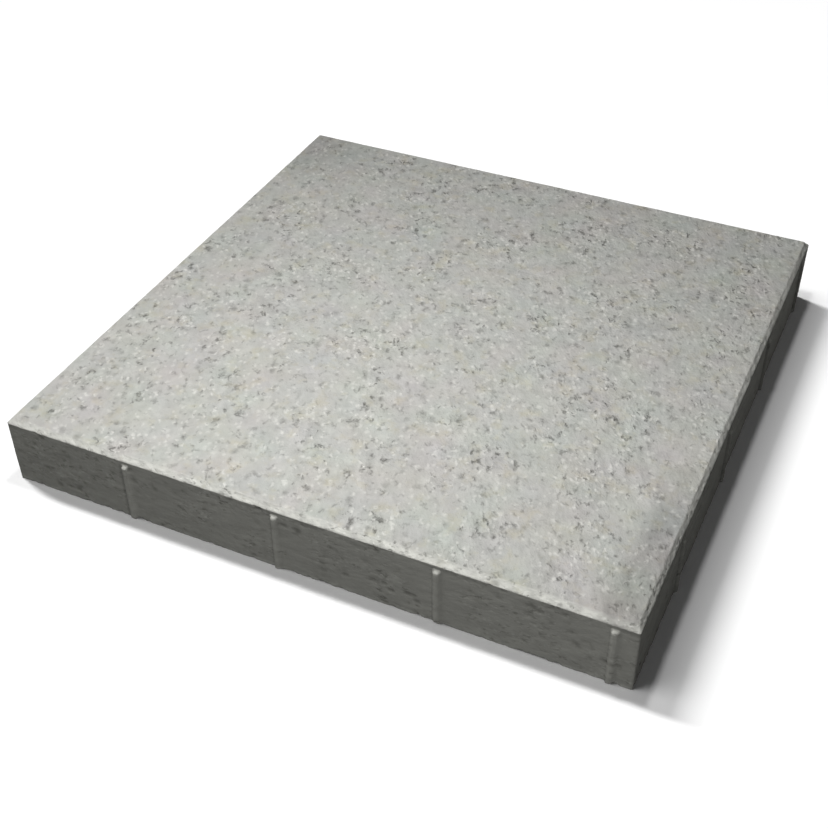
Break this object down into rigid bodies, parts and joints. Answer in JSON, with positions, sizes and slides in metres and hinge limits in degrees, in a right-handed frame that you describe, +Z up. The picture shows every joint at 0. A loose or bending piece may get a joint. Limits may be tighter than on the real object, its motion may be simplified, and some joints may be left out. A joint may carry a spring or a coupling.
{
  "type": "concrete paving slab",
  "caption": "Square grey concrete paving slab with a fine pitted wearing face, a narrow bevel round its top edge and upright spacer nibs on its walls, laid flat to make paths and terraces.",
  "frame": {"origin": "middle of the bed face, the underside that lies on the sand", "axes": "+Z up through the thickness, out of the wearing face; -Y out of the front wall and +X out of the right wall"},
  "size_m": [0.502, 0.502, 0.06],
  "materials": {
    "pressed_concrete": "matte"
  },
  "bodies": {
    "root": {"paving_slab": "pressed_concrete"}
  },
  "joints": []
}
